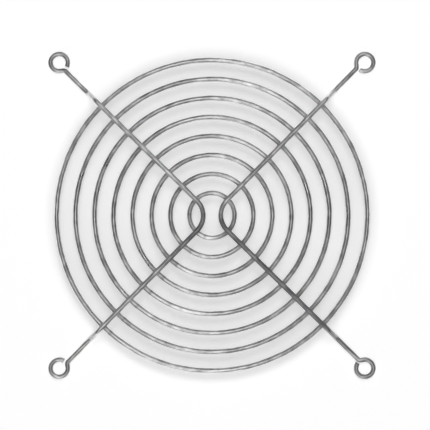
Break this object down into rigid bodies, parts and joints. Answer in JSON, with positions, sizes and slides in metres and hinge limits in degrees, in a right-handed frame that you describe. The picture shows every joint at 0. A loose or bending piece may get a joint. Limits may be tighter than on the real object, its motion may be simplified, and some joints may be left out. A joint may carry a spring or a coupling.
{
  "type": "wire fan guard",
  "caption": "Round welded wire guard for a square axial fan: concentric rings under bent support wires that end in screw eyes.",
  "frame": {"origin": "centre of the guard, in the plane of the fan's face that the eyes lie on", "axes": "+Z points away from the fan; the screws lie on the diagonals of +X and +Y"},
  "size_m": [0.1126, 0.1126, 0.006],
  "materials": {
    "plated_wire": "bright nickel-chrome plate over steel wire, smooth, soft reflections"
  },
  "bodies": {
    "root": {"ring_1": "plated_wire", "ring_2": "plated_wire", "ring_3": "plated_wire", "ring_4": "plated_wire", "ring_5": "plated_wire", "ring_6": "plated_wire", "ring_7": "plated_wire", "ring_8": "plated_wire", "support_wire_left": "plated_wire", "support_wire_right": "plated_wire"}
  },
  "joints": []
}
